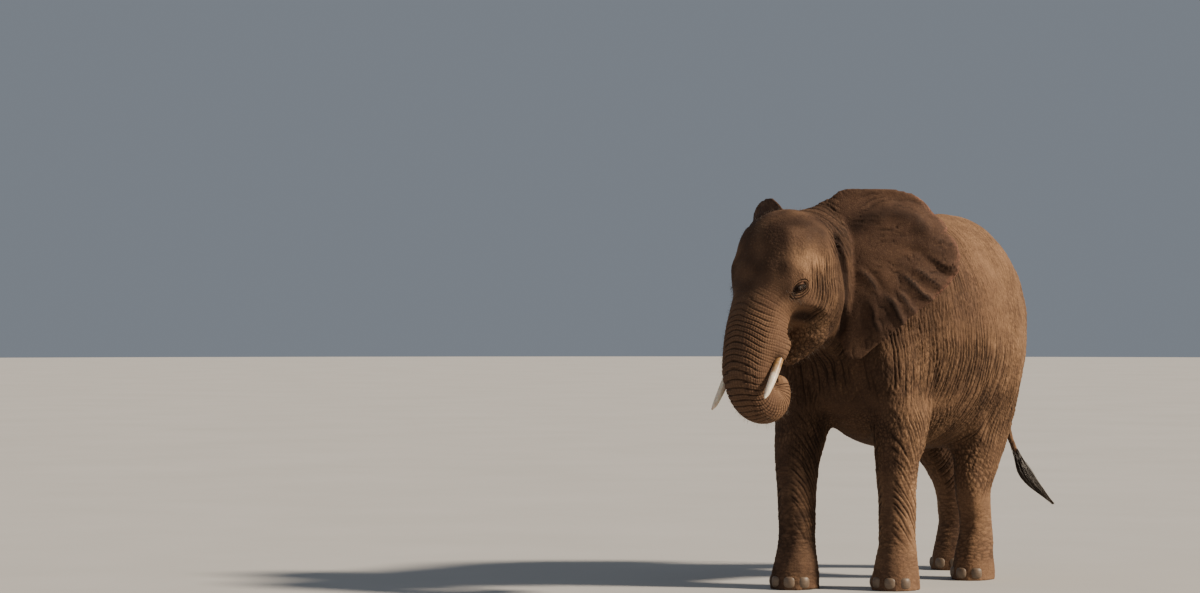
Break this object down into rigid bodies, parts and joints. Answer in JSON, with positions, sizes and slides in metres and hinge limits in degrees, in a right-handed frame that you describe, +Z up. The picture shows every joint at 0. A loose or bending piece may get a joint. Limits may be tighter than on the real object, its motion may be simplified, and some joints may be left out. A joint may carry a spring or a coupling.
{
  "type": "elephant",
  "caption": "African savanna elephant standing in mid stride with its trunk curled up to its mouth, as a life-size still model.",
  "frame": {"origin": "on the floor, below the middle of the whole animal's box", "axes": "the animal faces -Y, its left side is +X, +Z up"},
  "size_m": [1.5958, 3.2998, 2.4919],
  "materials": {
    "skin": "matte, deeply wrinkled and dusty",
    "ivory": "satin",
    "nail": "dull, scuffed",
    "eye": "wet gloss",
    "hair": "coarse black hair"
  },
  "bodies": {
    "root": {"ear_left": "skin", "ear_right": "skin", "eye_left": "eye", "eye_right": "eye", "forefoot_left": "skin", "forefoot_right": "skin", "foreleg_left_lower": "skin", "foreleg_left_upper": "skin", "foreleg_right_lower": "skin", "foreleg_right_upper": "skin", "head": "skin", "hindfoot_left": "skin", "hindfoot_right": "skin", "hindleg_left_lower": "skin", "hindleg_left_upper": "skin", "hindleg_right_lower": "skin", "hindleg_right_upper": "skin", "jaw": "skin", "nail_fore_left_1": "nail", "nail_fore_left_2": "nail", "nail_fore_left_3": "nail", "nail_fore_left_4": "nail", "nail_fore_right_1": "nail", "nail_fore_right_2": "nail", "nail_fore_right_3": "nail", "nail_fore_right_4": "nail", "nail_hind_left_1": "nail", "nail_hind_left_2": "nail", "nail_hind_left_3": "nail", "nail_hind_right_1": "nail", "nail_hind_right_2": "nail", "nail_hind_right_3": "nail", "neck": "skin", "tail": "skin", "tail_tuft": "hair", "torso": "skin", "trunk_base": "skin", "trunk_bend": "skin", "trunk_lower": "skin", "trunk_tip": "skin", "trunk_upper": "skin", "tusk_left": "ivory", "tusk_right": "ivory"}
  },
  "joints": []
}
